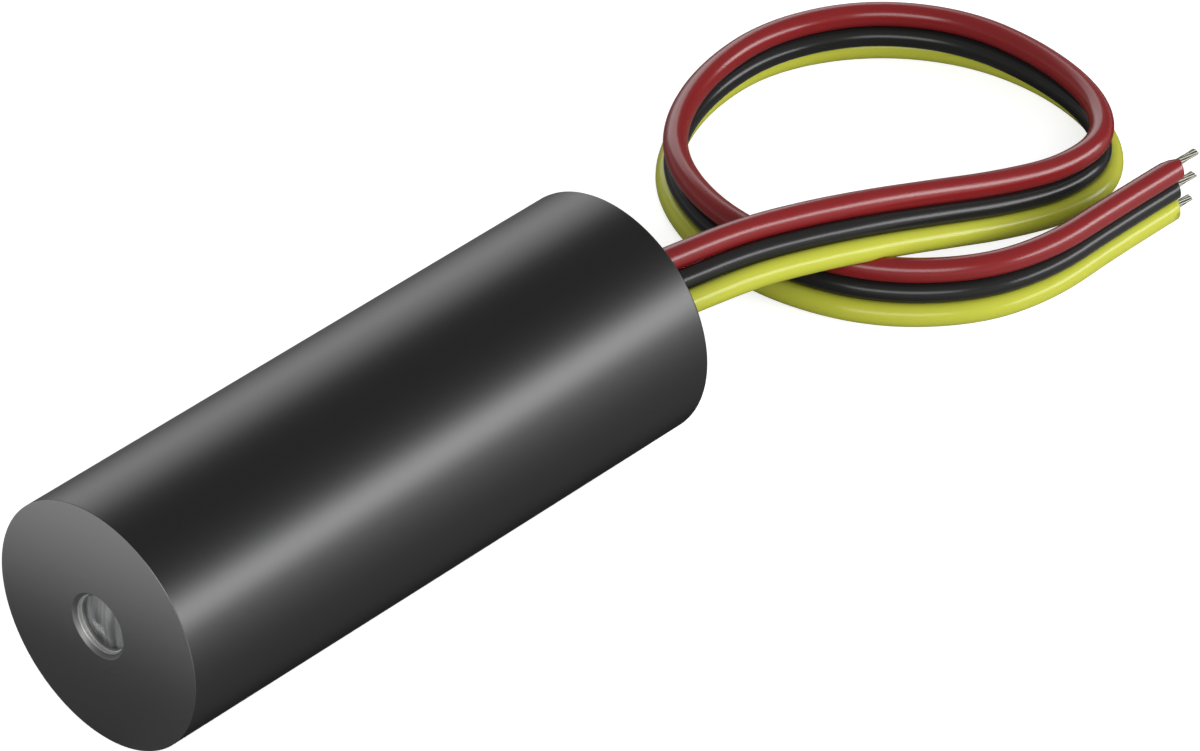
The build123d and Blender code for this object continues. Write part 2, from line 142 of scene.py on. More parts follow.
# Steps from the axis to the rim of the lens's crowns
FRONT_CROWN_STEPS = 12
REAR_CROWN_STEPS = 16


def length(name, description, default):
    """A size in metres that a user may change."""
    return FloatProperty(name=name, description=description, default=default, min=0.0, unit="LENGTH",
                         precision=5)


def number(name, description, default, low=0.0, high=1000.0):
    """A plain number that a user may change."""
    return FloatProperty(name=name, description=description, default=default, min=low, max=high)


def colour(name, description, default):
    """A linear colour that a user may change."""
    return FloatVectorProperty(name=name, description=description, default=default, size=3, subtype="COLOR",
                               min=0.0, max=1.0)


class BodySizes(bpy.types.PropertyGroup):
    """Sizes of the housing, the lens barrel and the lens."""
    body_diameter: length("Body diameter", "Across the housing", HOUSING_HIGH.x - HOUSING_LOW.x)
    body_length: length("Body length", "From front face to rear end", HOUSING_HIGH.y - HOUSING_LOW.y)
    front_wall: length("Front wall", "Thickness left round the beam hole", BARREL_LOW.y - HOUSING_LOW.y)
    beam_hole: length("Beam hole", "Across the hole in the front wall", 0.0032)
    front_bore: length("Front bore", "Across the bore that holds the lens barrel", 0.0090)
    rear_bore: length("Rear bore", "Across the bore behind the shoulder", 0.0102)
    shoulder_depth: length("Shoulder depth", "From the front face to the shoulder", 0.0080)
    front_rounding: length("Front rounding", "Rounding of the rim of the housing's front face", 0.00003)
    rear_rounding: length("Rear rounding", "Rounding of the housing's and the barrel's rear rims", 0.00015)
    hole_bevel: length("Hole bevel", "Width of the beam hole's bevelled rim", 0.00018)
    hole_rounding: length("Hole rounding", "Rounding of the bevel's outer edge", 0.000006)
    barrel_opening: length("Barrel opening", "Across the opening in front of the lens", 0.0027)
    opening_rounding: length("Opening rounding", "Rounding of the barrel's opening", 0.00001)
    barrel_lip: length("Barrel lip", "Thickness of the lip in front of the lens", 0.00022)
    groove_width: length("Groove width", "Width of the glue groove round the barrel", 0.0006)
    groove_depth: length("Groove depth", "Depth of the glue groove round the barrel", 0.00035)
    lens_play: length("Lens play", "Gap between the lens and its bore", 0.00003)
    front_crown: length("Front crown", "Rise of the lens's front face", 0.00017)
    rear_crown: length("Rear crown", "Rise of the lens's rear face", 0.00055)
    rear_opening: length("Rear opening", "Across the lens's rear crown", 0.0038)
    segments: IntProperty(name="Segments", description="Steps of a turned piece", default=192, min=12)


class LeadSizes(bpy.types.PropertyGroup):
    """Sizes of the leads and their strands."""
    red_diameter: length("Red diameter", "Across the red jacket", 0.0012)
    black_diameter: length("Black diameter", "Across the black jacket", 0.0010)
    yellow_diameter: length("Yellow diameter", "Across the yellow jacket", 0.00115)
    strand: length("Strand diameter", "Across one strand", 0.000125)
    strands: IntProperty(name="Outer strands", description="Strands round the middle one", default=6, min=3)
    lay: length("Lay length", "Length in which a strand turns once round", 0.0060)
    inner_end: length("Inner end", "Bare conductor between plug and board", 0.0029)
    recess: length("Recess", "How far the cut jacket shrinks back round the strands", 0.00012)
    sides: IntProperty(name="Sides", description="Half a jacket's corners, less two", default=14, min=4)
    steps: IntProperty(name="Steps", description="Steps between two points of the route", default=20, min=2)
    droop_length: length("Droop length", "From the cut back to where a jacket starts to droop", 0.0011)


class Finishes(bpy.types.PropertyGroup):
    """Colours of the surfaces."""
    anodised: colour("Anodised black", "Housing", (0.045, 0.045, 0.0455))
    # The front face's paler colour is a painted reflection: it is the same black anodising, made paler so
    # that it mirrors more of the floor.
    faced_and_painted_sheen: colour("Faced front", "The housing's front face", (0.185, 0.185, 0.187))
    bevelled: colour("Bevelled rim", "Bevel round the beam hole", (0.17, 0.17, 0.17))
    bored: colour("Bored hole", "Straight wall of the beam hole", (0.62, 0.62, 0.62))
    bare_metal: colour("Bare aluminium", "Lens barrel", (0.50, 0.50, 0.49))
    red: colour("Red jacket", "Upper lead", (0.170, 0.0094, 0.0106))
    black: colour("Black jacket", "Middle lead", (0.0115, 0.0116, 0.0114))
    yellow: colour("Yellow jacket", "Lower lead", (0.382, 0.398, 0.040))
    tin: colour("Tinned copper", "Strands", (0.20, 0.197, 0.165))
    # The lens's two tints paint upright streaks of reflected light into the glass.
    lens_dim: colour("Lens between streaks", "The lens where it shows less light", (0.40, 0.41, 0.42))
    lens_painted_streaks: colour("Lens in streaks", "The lens where it shows more light", (0.96, 0.98, 0.99))
    brass: colour("Brass", "Holder and rings", (0.76, 0.56, 0.26))
    gold: colour("Plated steel", "Diode can and pins", (0.83, 0.66, 0.36))
    steel: colour("Spring steel", "Focus spring", (0.52, 0.52, 0.53))
    solder: colour("Solder", "Joints on the board", (0.70, 0.70, 0.69))
    moulding: colour("Moulded black", "Rear plug and packages", (0.022, 0.022, 0.024))
    board: colour("Board lacquer", "Driver board", (0.02, 0.16, 0.06))
    ceramic: colour("White ceramic", "Submount", (0.82, 0.81, 0.77))
    capacitor: colour("Tan ceramic", "Capacitors", (0.50, 0.36, 0.22))
    chip: colour("Dark chip", "Laser chip, photodiode and resistors", (0.035, 0.036, 0.045))
    window: colour("Window glass", "Window of the diode can", (0.97, 0.98, 0.98))


class StageSettings(bpy.types.PropertyGroup):
    """The floor, the lamps and the camera."""
    floor_radius: length("Floor radius", "From the middle of the floor to its edge", 3.0)
    floor: colour("Floor", "Colour of the floor", (0.62, 0.62, 0.62))
    floor_lift: number("Floor lift", "Light that the floor adds to camera and reflections", 0.68)
    shade_start: length("Shade start", "From the body, up to where the floor's shade is full", 0.0042)
    shade_end: length("Shade end", "From the body, where the floor's shade is over", 0.0171)
    shade_depth: number("Shade depth", "Share of the light that the full shade takes away", 0.86, 0.0, 1.0)
    deep_shade: number("Deep shade", "The same share under and straight behind the body", 0.97, 0.0, 1.0)
    right_reach: length("Right reach", "From the body, where the shade on the right is over", 0.067)
    right_curve: number("Right curve", "How slowly the shade on the right lightens at first", 0.4)
    far_stretch: number("Far stretch", "How much farther the shade reaches behind and left", 10.0, 1.0)
    shade_slant: number("Shade slant", "How much deeper the shade before the body is towards +X", 0.20)
    sky_low: number("Sky at the horizon", "Strength of the world near the horizon", 0.62)
    sky_high: number("Sky overhead", "Strength of the world overhead", 0.35)
    sky_behind: number("Sky behind", "Share of the world's strength left towards +Y", 0.25, 0.0, 1.0)
    camera_azimuth: number("Camera azimuth", "Degrees from -Y towards +X", 43.32, -180, 180)
    camera_elevation: number("Camera elevation", "Degrees above the horizon", 35.77, -90, 90)
    camera_place: FloatVectorProperty(name="Camera place", description="Where the camera stands", size=3,
                                      default=(0.191879, -0.18821, 0.204301), subtype="TRANSLATION")
    camera_lens: number("Camera lens", "Focal length in millimetres for a 36 mm sensor", 227.9)


# Each softbox: its name, the azimuth and the elevation that it stands at, its distance from the body's
# middle, its width and height, and its radiance
SOFTBOXES = [
    ("right_softbox", 127.5, 16.0, 0.35, 0.36, 0.10, 11.0),
    ("left_softbox", 236.0, 24.0, 0.35, 0.26, 0.20, 2.3),
    ("front_softbox", 40.0, 33.0, 0.40, 0.36, 0.16, 7.0),
]
FLOOR_SIDES = 96
# Where the floor's shade starts to deepen, and from where on it is deepest, in metres outside the body's
# sides and front
UNDER_START = 0.0005
UNDER_FULL = -0.002
# The sky has its overhead strength where its direction's Z is this or more. It starts to dim where the
# direction's Y is the first of these and is dimmest from the second on.
SKY_TOP = 0.5
BEHIND_START = 0.72
BEHIND_FULL = 0.95


class Grain(NamedTuple):
    """A grained surface: its patches' and specks' sizes in metres, and how rough, deep and even it is."""
    patch: float
    speck: float
    roughness: float
    depth: float
    metallic: float = 0.0
    spread: float = 0.12
    gloss: float = 0.5
    uneven: float = 0.12


VINYL = Grain(patch=0.0025, speck=0.0001, roughness=0.24, depth=0.02, spread=0.06, uneven=0.05)
TIN = Grain(patch=0.0003, speck=0.00005, roughness=0.30, depth=0.2, metallic=1.0)
SPRING_STEEL = Grain(patch=0.001, speck=0.00006, roughness=0.30, depth=0.1, metallic=1.0)
MOULDED_PLASTIC = Grain(patch=0.002, speck=0.00008, roughness=0.52, depth=0.35)
LACQUER = Grain(patch=0.0012, speck=0.0001, roughness=0.34, depth=0.2, spread=0.5)
WHITE_CERAMIC = Grain(patch=0.0005, speck=0.00003, roughness=0.55, depth=0.2)
TAN_CERAMIC = Grain(patch=0.0006, speck=0.00003, roughness=0.5, depth=0.2)
DARK_CHIP = Grain(patch=0.0006, speck=0.00003, roughness=0.35, depth=0.1)
SOLDER = Grain(patch=0.0004, speck=0.00008, roughness=0.26, depth=0.4, metallic=1.0)

# Height of the turning marks and of the grain, where their depth is 1
BUMP_HEIGHT = 0.00002
# The housing's turning marks, and the roughness of its skin, of its front face and of the beam hole's rim
MARK_SPACING = 0.00007
MARK_DEPTH = 0.02
SKIN_ROUGHNESS = 0.36
FACED_ROUGHNESS = 0.28
BEVELLED_ROUGHNESS = 0.54
# In metres past the edge of each finish, and of the front face's painted paler colour: where it starts to
# show, and where it is full
FACED_BLEND = (0.000016, 0.000008)
BEVELLED_BLEND = (0.000012, 0.000008)
BORED_BLEND = (0.00001, 0.000005)
# The lens's painted streaks of light: their pattern's scale along X, Y and Z, and where they start and are
# brightest in it
STREAK_SCALE = (2500, 0, 150)
STREAK_START = 0.40
STREAK_FULL = 0.60


def finish_piece(piece, slot, *nodes):
    """Puts a new piece on the body and hides the CAD nodes that it stands for. The slot is not used."""
    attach(piece, "root")
    if nodes:
        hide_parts(*nodes)
    return piece


def object_from(name, shape, material):
    """Makes an object of a bmesh, with smooth faces and one material."""
    mesh = bpy.data.meshes.new(name)
    shape.to_mesh(mesh)
    shape.free()
    mesh.shade_smooth()
    mesh.materials.append(material)
    piece = bpy.data.objects.new(name, mesh)
    bpy.context.scene.collection.objects.link(piece)
    return piece


def keep_flats_flat(piece):
    """Lets the large faces set the shading, so that only the rounded rims blend."""
    weights = piece.modifiers.new("flat faces", "WEIGHTED_NORMAL")
    weights.keep_sharp = True


def straight_wire(shape, points):
    """Adds a run of straight edges through (radius, place along the axis) points."""
    corners = [shape.verts.new((radius, y, 0)) for radius, y in points]
    for first, second in zip(corners, corners[1:]):
        shape.edges.new((first, second))


def crown_wire(shape, top_y, edge_y, half_width, steps):
    """Adds the half outline of a round crown, spun from its top on the axis out to its edge."""
    rise = abs(top_y - edge_y)
    radius = (half_width ** 2 + rise ** 2) / (2 * rise)
    centre_y = top_y + math.copysign(radius, edge_y - top_y)
    turn = math.asin(half_width / radius) * math.copysign(1, edge_y - top_y)
    start = shape.verts.new((0, top_y, 0))
    bmesh.ops.spin(shape, geom=[start], cent=(0, centre_y, 0), axis=(0, 0, 1), angle=turn, steps=steps)


def spin_wire(shape, segments):
    """Spins the wire once round the Y axis, closes it and lifts it to the body's axis."""
    bmesh.ops.remove_doubles(shape, verts=shape.verts, dist=MERGE_DISTANCE)
    bmesh.ops.spin(shape, geom=shape.verts[:] + shape.edges[:], cent=(0, 0, 0), axis=(0, 1, 0),
                   angle=2 * math.pi, steps=segments, use_merge=True)
    bmesh.ops.remove_doubles(shape, verts=shape.verts, dist=MERGE_DISTANCE)
    bmesh.ops.recalc_face_normals(shape, faces=shape.faces)
    bmesh.ops.translate(shape, verts=shape.verts, vec=(0, 0, AXIS_HEIGHT))


def round_rims(shape, rims):
    """Rounds the rims given as (radius, place along the axis, rounding)."""
    for radius, y, rounding in rims:
        edges = [edge for edge in shape.edges if all(on_rim(corner.co, radius, y) for corner in edge.verts)]
        if not edges:
            raise RuntimeError(f"there is no rim of radius {radius} at {y}")
        bmesh.ops.bevel(shape, geom=edges, offset=rounding, offset_type="OFFSET", segments=ROUNDING_STEPS,
                        profile=0.5, affect="EDGES", material=-1)


def on_rim(point, radius, y):
    """Whether a point lies on the rim of that radius at that place along the axis."""
    out = math.hypot(point.x, point.z - AXIS_HEIGHT)
    return abs(out - radius) < RIM_TOLERANCE and abs(point.y - y) < RIM_TOLERANCE


def set_inputs(tree, sockets, values):
    """Gives each named input socket its plain value, or links another node's output socket to it."""
    for name, value in values.items():
        if isinstance(value, bpy.types.NodeSocket):
            tree.links.new(value, sockets[name])
        else:
            sockets[name].default_value = value


def add_node(tree, kind, options=None, inputs=None):
    """Adds a shader node with its options and its inputs, each by name or by number."""
    node = tree.nodes.new(kind)
    for name, value in (options or {}).items():
        setattr(node, name, value)
    set_inputs(tree, node.inputs, inputs or {})
    return node


def calculate(tree, operation, *values, clamp=False):
    """Adds a math node and returns its output."""
    node = add_node(tree, "ShaderNodeMath", {"operation": operation, "use_clamp": clamp},
                    dict(enumerate(values)))
    return node.outputs[0]


def ramp(tree, value, start, end, low=0.0, high=1.0):
    """A mask that goes smoothly from low where the value is at the start to high where it is at the end."""
    node = add_node(tree, "ShaderNodeMapRange", {"interpolation_type": "SMOOTHSTEP"},
                    {"Value": value, "From Min": start, "From Max": end, "To Min": low, "To Max": high})
    return node.outputs[0]


def finish_mask(tree, value, edge, blend):
    """A mask that is 1 up to the edge of a finish and fades to 0 just past it."""
    start, full = blend
    return ramp(tree, value, edge + start, edge + full)


def blend_colours(tree, factor, first, second):
    """Mixes two colours and returns the output."""
    mix = add_node(tree, "ShaderNodeMix", {"data_type": "RGBA"}, {0: factor, 6: first, 7: second})
    return mix.outputs[2]


def start_group(name, inputs, outputs):
    """Starts a shader node group with (name, kind, default) inputs and (name, kind) outputs."""
    tree = bpy.data.node_groups.new(name, "ShaderNodeTree")
    for label, kind, default in inputs:
        socket = tree.interface.new_socket(label, in_out="INPUT", socket_type=f"NodeSocket{kind}")
        socket.default_value = default
    for label, kind in outputs:
        tree.interface.new_socket(label, in_out="OUTPUT", socket_type=f"NodeSocket{kind}")
    return tree, tree.nodes.new("NodeGroupInput").outputs, tree.nodes.new("NodeGroupOutput").inputs


def turned_place(tree):
    """Distance from the body's axis and place along it, of the point being shaded."""
    place = add_node(tree, "ShaderNodeTexCoord").outputs["Object"]
    centred = add_node(tree, "ShaderNodeMapping",
                       inputs={"Vector": place, "Location": (0, 0, -AXIS_HEIGHT)})
    across = add_node(tree, "ShaderNodeVectorMath", {"operation": "MULTIPLY"},
                      {0: centred.outputs[0], 1: (1, 0, 1)})
    radius = add_node(tree, "ShaderNodeVectorMath", {"operation": "LENGTH"}, {0: across.outputs[0]})
    along = add_node(tree, "ShaderNodeSeparateXYZ", inputs={0: place})
    return radius.outputs["Value"], along.outputs["Y"]


def turned_marks_group():
    """Fine rings left by the tool: they vary the roughness and bend the normal."""
    tree, given, made = start_group(
        "turned_marks",
        [("Spacing", "Float", 0.0001), ("Depth", "Float", 0.2), ("Roughness", "Float", 0.35),
         ("Roughness Spread", "Float", 0.05)],
        [("Roughness", "Float"), ("Normal", "Vector")])
    radius, along = turned_place(tree)
    rings = add_node(tree, "ShaderNodeCombineXYZ", inputs={
        0: calculate(tree, "DIVIDE", radius, given["Spacing"]),
        1: calculate(tree, "DIVIDE", along, given["Spacing"])})
    noise = add_node(tree, "ShaderNodeTexNoise",
                     inputs={"Vector": rings.outputs[0], "Scale": 1.0, "Detail": 3.0})
    offset = calculate(tree, "SUBTRACT", noise.outputs["Fac"], 0.5)
    spread = calculate(tree, "MULTIPLY", offset, given["Roughness Spread"])
    tree.links.new(calculate(tree, "ADD", given["Roughness"], spread, clamp=True), made["Roughness"])
    bump = add_node(tree, "ShaderNodeBump", inputs={
        "Height": noise.outputs["Fac"], "Strength": given["Depth"], "Distance": BUMP_HEIGHT})
    tree.links.new(bump.outputs[0], made["Normal"])
    return tree


def grained_surface_group():
    """A fine random grain with soft patches: it varies colour and roughness and bends the normal."""
    tree, given, made = start_group(
        "grained_surface",
        [("Color", "Color", (0.5, 0.5, 0.5, 1)), ("Color Spread", "Float", 0.1),
         ("Patch Size", "Float", 0.003), ("Grain Size", "Float", 0.0001), ("Roughness", "Float", 0.4),
         ("Roughness Spread", "Float", 0.1), ("Depth", "Float", 0.1)],
        [("Color", "Color"), ("Roughness", "Float"), ("Normal", "Vector")])
    place = add_node(tree, "ShaderNodeTexCoord").outputs["Object"]
    noises = []
    for size in (given["Patch Size"], given["Grain Size"]):
        scaled = add_node(tree, "ShaderNodeVectorMath", {"operation": "DIVIDE"}, {0: place, 1: size})
        noise = add_node(tree, "ShaderNodeTexNoise", inputs={"Vector": scaled.outputs[0], "Scale": 1.0,
                                                             "Detail": 3.0})
        noises.append(noise.outputs["Fac"])
    patch, grain = noises
    offset = calculate(tree, "SUBTRACT", patch, 0.5)
    lighter = calculate(tree, "MULTIPLY_ADD", offset, given["Color Spread"], 1.0)
    shade = add_node(tree, "ShaderNodeHueSaturation", inputs={"Color": given["Color"], "Value": lighter})
    tree.links.new(shade.outputs[0], made["Color"])
    both = calculate(tree, "ADD", offset, calculate(tree, "SUBTRACT", grain, 0.5))
    spread = calculate(tree, "MULTIPLY", both, given["Roughness Spread"])
    tree.links.new(calculate(tree, "ADD", given["Roughness"], spread, clamp=True), made["Roughness"])
    bump = add_node(tree, "ShaderNodeBump", inputs={
        "Height": grain, "Strength": given["Depth"], "Distance": BUMP_HEIGHT})
    tree.links.new(bump.outputs[0], made["Normal"])
    return tree


def use_group(tree, name, inputs):
    """Places a node group, made on its first use, and returns its outputs."""
    makers = {"turned_marks": turned_marks_group, "grained_surface": grained_surface_group}
    group = bpy.data.node_groups.get(name) or makers[name]()
    return add_node(tree, "ShaderNodeGroup", {"node_tree": group}, inputs).outputs


def start_material(name):
    """A new material, with its tree and its Principled shader."""
    material = bpy.data.materials.new(name)
    material.use_nodes = True
    tree = material.node_tree
    return material, tree, tree.nodes["Principled BSDF"].inputs


def with_alpha(rgb):
    """A colour with full alpha."""
    return (*rgb, 1.0)


def anodised_material(sizes, finishes):
    """Satin black over fine turning marks, paler where the beam hole was cut. The front face is the same
    anodising, painted paler as a painted reflection of the floor.
    """
    material, tree, shader = start_material("black_anodised")
    hole = sizes.beam_hole / 2
    radius, along = turned_place(tree)
    faced_and_painted_sheen = finish_mask(tree, along, -sizes.body_length / 2, FACED_BLEND)
    bevelled = finish_mask(tree, radius, hole, BEVELLED_BLEND)
    bored = finish_mask(tree, radius, hole - sizes.hole_bevel, BORED_BLEND)
    roughness = calculate(tree, "MULTIPLY_ADD", faced_and_painted_sheen, FACED_ROUGHNESS - SKIN_ROUGHNESS, SKIN_ROUGHNESS)
    roughness = calculate(tree, "MULTIPLY_ADD", bevelled, BEVELLED_ROUGHNESS - SKIN_ROUGHNESS, roughness)
    depth = calculate(tree, "MULTIPLY_ADD", faced_and_painted_sheen, -MARK_DEPTH, MARK_DEPTH)
    marks = use_group(tree, "turned_marks", {
        "Spacing": MARK_SPACING, "Depth": depth, "Roughness": roughness, "Roughness Spread": 0.03})
    # Painted reflection: the front face gets a paler colour than the same anodising on the skin.
    skin = blend_colours(tree, faced_and_painted_sheen, with_alpha(finishes.anodised), with_alpha(finishes.faced_and_painted_sheen))
    base = blend_colours(tree, bevelled, skin, with_alpha(finishes.bevelled))
    set_inputs(tree, shader, {
        "Base Color": blend_colours(tree, bored, base, with_alpha(finishes.bored)),
        "Metallic": 1.0, "Roughness": marks["Roughness"], "Normal": marks["Normal"],
    })
    return material


def turned_metal_material(name, base, spacing, depth, roughness):
    """Bare turned or drawn metal with rings about the body's axis."""
    material, tree, shader = start_material(name)
    marks = use_group(tree, "turned_marks", {"Spacing": spacing, "Depth": depth, "Roughness": roughness,
                                             "Roughness Spread": 0.12})
    set_inputs(tree, shader, {"Base Color": with_alpha(base), "Metallic": 1.0,
                              "Roughness": marks["Roughness"], "Normal": marks["Normal"]})
    return material


def grained_material(name, base, grain):
    """A surface with a fine random grain, such as moulded plastic, ceramic, lacquer or tin."""
    material, tree, shader = start_material(name)
    look = use_group(tree, "grained_surface", {
        "Color": with_alpha(base), "Color Spread": grain.spread, "Patch Size": grain.patch,
        "Grain Size": grain.speck, "Roughness": grain.roughness, "Roughness Spread": grain.uneven,
        "Depth": grain.depth})
    set_inputs(tree, shader, {
        "Base Color": look["Color"], "Metallic": grain.metallic, "Roughness": look["Roughness"],
        "Specular IOR Level": grain.gloss, "Normal": look["Normal"]})
    return material


def glass_material(name, tint, ior, roughness):
    """Glass with a faint haze that varies over its face."""
    material, tree, shader = start_material(name)
    look = use_group(tree, "grained_surface", {"Patch Size": 0.0008, "Grain Size": 0.0002,
                                               "Roughness": roughness, "Roughness Spread": roughness,
                                               "Depth": 0.02})
    set_inputs(tree, shader, {"Base Color": with_alpha(tint), "Transmission Weight": 1.0, "IOR": ior,
                              "Roughness": look["Roughness"]})
    return material


def lens_material(finishes):
    """Glass with a faint haze and upright streaks of painted light, a paler tint that stands in for
    reflections.
    """
    material, tree, shader = start_material("lens_glass")
    place = add_node(tree, "ShaderNodeTexCoord").outputs["Object"]
    stretched = add_node(tree, "ShaderNodeVectorMath", {"operation": "MULTIPLY"},
                         {0: place, 1: STREAK_SCALE})
    noise = add_node(tree, "ShaderNodeTexNoise", inputs={"Vector": stretched.outputs[0], "Scale": 1.0,
                                                         "Detail": 1.0})
    # Painted light: paler upright streaks in the tint stand in for reflections in the lens.
    streaks = ramp(tree, noise.outputs["Fac"], STREAK_START, STREAK_FULL)
    dim, clear = with_alpha(finishes.lens_dim), with_alpha(finishes.lens_painted_streaks)
    set_inputs(tree, shader, {"Base Color": blend_colours(tree, streaks, dim, clear),
                              "Transmission Weight": 0.85, "IOR": 1.52, "Roughness": 0.06})
    return material


def pitch_to(side, sizes):
    """From the middle lead's centre to the touching neighbour's on that side, or 0 for the middle lead."""
    neighbour = {-1: sizes.red_diameter, 0: -sizes.black_diameter, 1: sizes.yellow_diameter}[side]
    return (sizes.black_diameter + neighbour) / 2


def route_centres(sizes):
    """The middle lead's points, with the lying ones raised so that the yellow lead rests on the floor."""
    rear = HOUSING_HIGH.y
    centres = []
    for x, behind, height, _, yellow_lean in ROUTE:
        lying = sizes.yellow_diameter / 2 + pitch_to(1, sizes) * math.cos(math.radians(yellow_lean))
        centres.append(Vector((x, rear + behind, lying if height is LYING else height)))
    return centres


def lead_points(side, sizes):
    """One lead's points, above the middle lead's, the same or below it."""
    centres = route_centres(sizes)
    pitch = pitch_to(side, sizes)
    points = []
    for k, centre in enumerate(centres):
        before = centres[max(k - 1, 0)]
        after = centres[min(k + 1, len(centres) - 1)]
        arriving = (centre - before if k > 0 else after - centre).xy.normalized()
        leaving = (after - centre if k < len(centres) - 1 else centre - before).xy.normalized()
        along = (arriving + leaving).normalized()
        mitre = 1 / arriving.dot(along)
        lean = math.radians(ROUTE[k][3] if side < 0 else ROUTE[k][4])
        sideways = Vector((along.y, -along.x, 0)) * (side * pitch * math.sin(lean) * mitre)
        points.append(centre + sideways + Vector((0, 0, -side * pitch * math.cos(lean))))
    return points


def mesh_of_route(points, radius, sides, steps):
    """The mesh of the smooth curve through the route: a tube, or the bare line where the radius is 0."""
    curve = bpy.data.curves.new("route", "CURVE")
    curve.dimensions = "3D"
    curve.resolution_u = steps
    curve.bevel_depth = radius
    curve.bevel_resolution = sides
    spline = curve.splines.new("NURBS")
    spline.points.add(len(points) - 1)
    for control, point in zip(spline.points, points):
        control.co = (*point, 1.0)
    spline.order_u = 3
    spline.use_endpoint_u = True
    holder = bpy.data.objects.new("route", curve)
    mesh = bpy.data.meshes.new_from_object(holder)
    bpy.data.objects.remove(holder)
    return mesh


def far_cap(shape, along):
    """The many-sided face that closes the tube's far end."""
    caps = [face for face in shape.faces if len(face.verts) > 4]
    return max(caps, key=lambda face: face.calc_center_median().dot(along))


def droop_end(shape, end, along, drop, start):
    """Lets the upper side of the tube's last stretch sink towards the strands."""
    for corner in shape.verts:
        offset = corner.co - end
        back = -offset.dot(along)
        if back < start and offset.length < 2 * start:
            share = (1 - max(back, 0) / start) ** 2
            height = max(offset.dot(UPPER_LEFT), 0) / start
            corner.co -= UPPER_LEFT * (drop * share * min(1, 2 * height))


def cut_jacket(shape, end, along, lead, hole_radius, hole_place):
    """Slopes the tube's far end, rounds its rim and sinks a hole where the strands come out."""
    cap = far_cap(shape, along)
    radius = (cap.verts[0].co - end).length
    for corner in cap.verts:
        fall = lead.cut_slopes[0] * (corner.co.x - end.x) + lead.cut_slopes[1] * (corner.co.z - end.z)
        corner.co -= along * fall
    bmesh.ops.bevel(shape, geom=cap.edges[:], offset=lead.cut_rounding, offset_type="OFFSET",
                    segments=ROUNDING_STEPS, profile=0.5, affect="EDGES", material=-1)
    cap = far_cap(shape, along)
    bmesh.ops.inset_region(shape, faces=[cap], thickness=radius - lead.cut_rounding - hole_radius,
                           use_even_offset=True)
    bmesh.ops.translate(shape, verts=far_cap(shape, along).verts, vec=hole_place)


def make_jacket(lead, diameter, shift, material, sizes):
    """A jacket along its route, with its far end cut, and the line that it follows."""
    points = lead_points(lead.side, sizes)
    along = (points[-1] - points[-2]).normalized()
    points[-1] -= along * lead.short
    line = mesh_of_route(points, 0.0, 0, sizes.steps)
    path = [vertex.co.copy() for vertex in line.vertices]
    shape = bmesh.new()
    shape.from_mesh(mesh_of_route(points, diameter / 2, sizes.sides, sizes.steps))
    bmesh.ops.remove_doubles(shape, verts=shape.verts, dist=MERGE_DISTANCE)
    bmesh.ops.holes_fill(shape, edges=[edge for edge in shape.edges if edge.is_boundary])
    cut_jacket(shape, points[-1], along, lead, STRAND_HOLE * sizes.strand, shift - along * sizes.recess)
    droop_end(shape, points[-1], along, lead.droop, sizes.droop_length)
    bmesh.ops.recalc_face_normals(shape, faces=shape.faces)
    piece = object_from(lead.colour + "_lead_jacket", shape, material)
    keep_flats_flat(piece)
    finish_piece(piece, "jacket_" + lead.colour, lead.colour + "_lead")
    return piece, path


def twisted_strands(shape, start, direction, reach, cut_slope, sizes):
    """Adds one bundle of strands: the outer ones laid round a middle one, cut off at a slope."""
    turn = direction.to_track_quat("Z", "Y").to_matrix().to_4x4()
    steps = max(1, math.ceil(reach / STRAND_STEP))
    rise = reach / steps
    bundle_radius = 1.5 * sizes.strand
    bundle = bmesh.new()
    for k in range(sizes.strands + 1):
        offset = 0.0 if k == sizes.strands else sizes.strand
        ring = bmesh.ops.create_circle(bundle, segments=STRAND_SIDES, radius=sizes.strand / 2)["verts"]
        bmesh.ops.translate(bundle, verts=ring, vec=(offset, 0, 0))
        bmesh.ops.rotate(bundle, verts=ring, cent=(0, 0, 0),
                         matrix=Matrix.Rotation(math.tau * k / sizes.strands, 3, "Z"))
        edges = list({edge for corner in ring for edge in corner.link_edges})
        for _ in range(steps):
            grown = bmesh.ops.extrude_edge_only(bundle, edges=edges)["geom"]
            ring = [item for item in grown if isinstance(item, bmesh.types.BMVert)]
            edges = [item for item in grown if isinstance(item, bmesh.types.BMEdge)]
            bmesh.ops.translate(bundle, verts=ring, vec=(0, 0, rise))
            bmesh.ops.rotate(bundle, verts=ring, cent=(0, 0, 0),
                             matrix=Matrix.Rotation(math.tau * rise / sizes.lay, 3, "Z"))
    blade = Vector((0, cut_slope, 1)).normalized()
    bmesh.ops.bisect_plane(bundle, geom=bundle.verts[:] + bundle.edges[:] + bundle.faces[:],
                           plane_co=(0, 0, reach - cut_slope * bundle_radius), plane_no=blade,
                           clear_outer=True)
    bmesh.ops.holes_fill(bundle, edges=[edge for edge in bundle.edges if edge.is_boundary])
    bmesh.ops.transform(bundle, matrix=Matrix.Translation(start) @ turn, verts=bundle.verts)
    bmesh.ops.recalc_face_normals(bundle, faces=bundle.faces)
    part = bpy.data.meshes.new("bundle")
    bundle.to_mesh(part)
    bundle.free()
    shape.from_mesh(part)
    bpy.data.meshes.remove(part)


def make_strands(lead, path, shift, material, sizes):
    """Both bare ends of a lead: the free one, and the one that runs to the board."""
    shape = bmesh.new()
    outward = (path[-1] - path[-2]).normalized()
    twisted_strands(shape, path[-1] + shift - outward * STRAND_ROOT, outward, lead.reach + STRAND_ROOT,
                    lead.strand_slope, sizes)
    twisted_strands(shape, path[0], (path[0] - path[1]).normalized(), sizes.inner_end, 0.0, sizes)
    piece = object_from(lead.colour + "_lead_strands", shape, material)
    piece.data.set_sharp_from_angle(angle=STRAND_SHARP)
    return finish_piece(piece, "tinned_strands", lead.colour + "_lead_tips")


